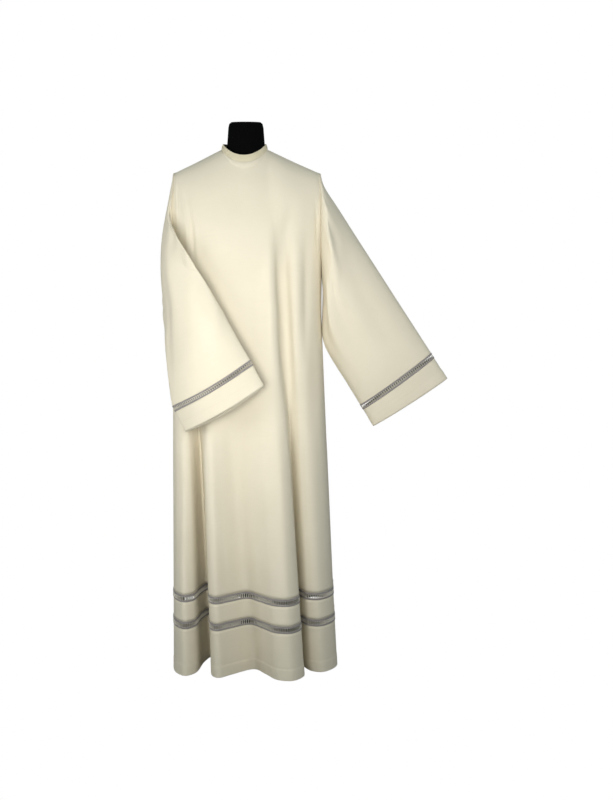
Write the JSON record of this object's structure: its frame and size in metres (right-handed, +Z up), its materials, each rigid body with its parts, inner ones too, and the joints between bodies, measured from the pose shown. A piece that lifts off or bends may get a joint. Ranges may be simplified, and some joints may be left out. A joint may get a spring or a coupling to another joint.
{
  "type": "alb robe on a limbless dress form",
  "caption": "Full-length ivory vestment robe with wide sleeves and ladder openwork bands at cuffs and hem, one sleeve laid across the front, worn on a black form with a pole and foot plate.",
  "frame": {"origin": "middle of the foot plate's underside, on the floor", "axes": "+Z up, -Y the robe's front, +X the wearer's left, where the sleeve is held out"},
  "size_m": [0.7908, 0.4315, 1.515],
  "materials": {
    "cloth": "matte",
    "openwork": "matte",
    "form_cover": "matte",
    "stand": "satin"
  },
  "bodies": {
    "root": {"front_panel": "cloth", "back_panel": "cloth", "front_strip_middle": "cloth", "back_strip_middle": "cloth", "front_strip_hem": "cloth", "back_strip_hem": "cloth", "sleeve_left": "cloth", "sleeve_right": "cloth", "cuff_left": "cloth", "cuff_right": "cloth", "neckband": "cloth", "openwork_upper_front": "openwork", "openwork_upper_back": "openwork", "openwork_lower_front": "openwork", "openwork_lower_back": "openwork", "openwork_sleeve_left": "openwork", "openwork_sleeve_right": "openwork", "form_torso": "form_cover", "form_pole": "stand", "form_base": "stand"}
  },
  "joints": []
}
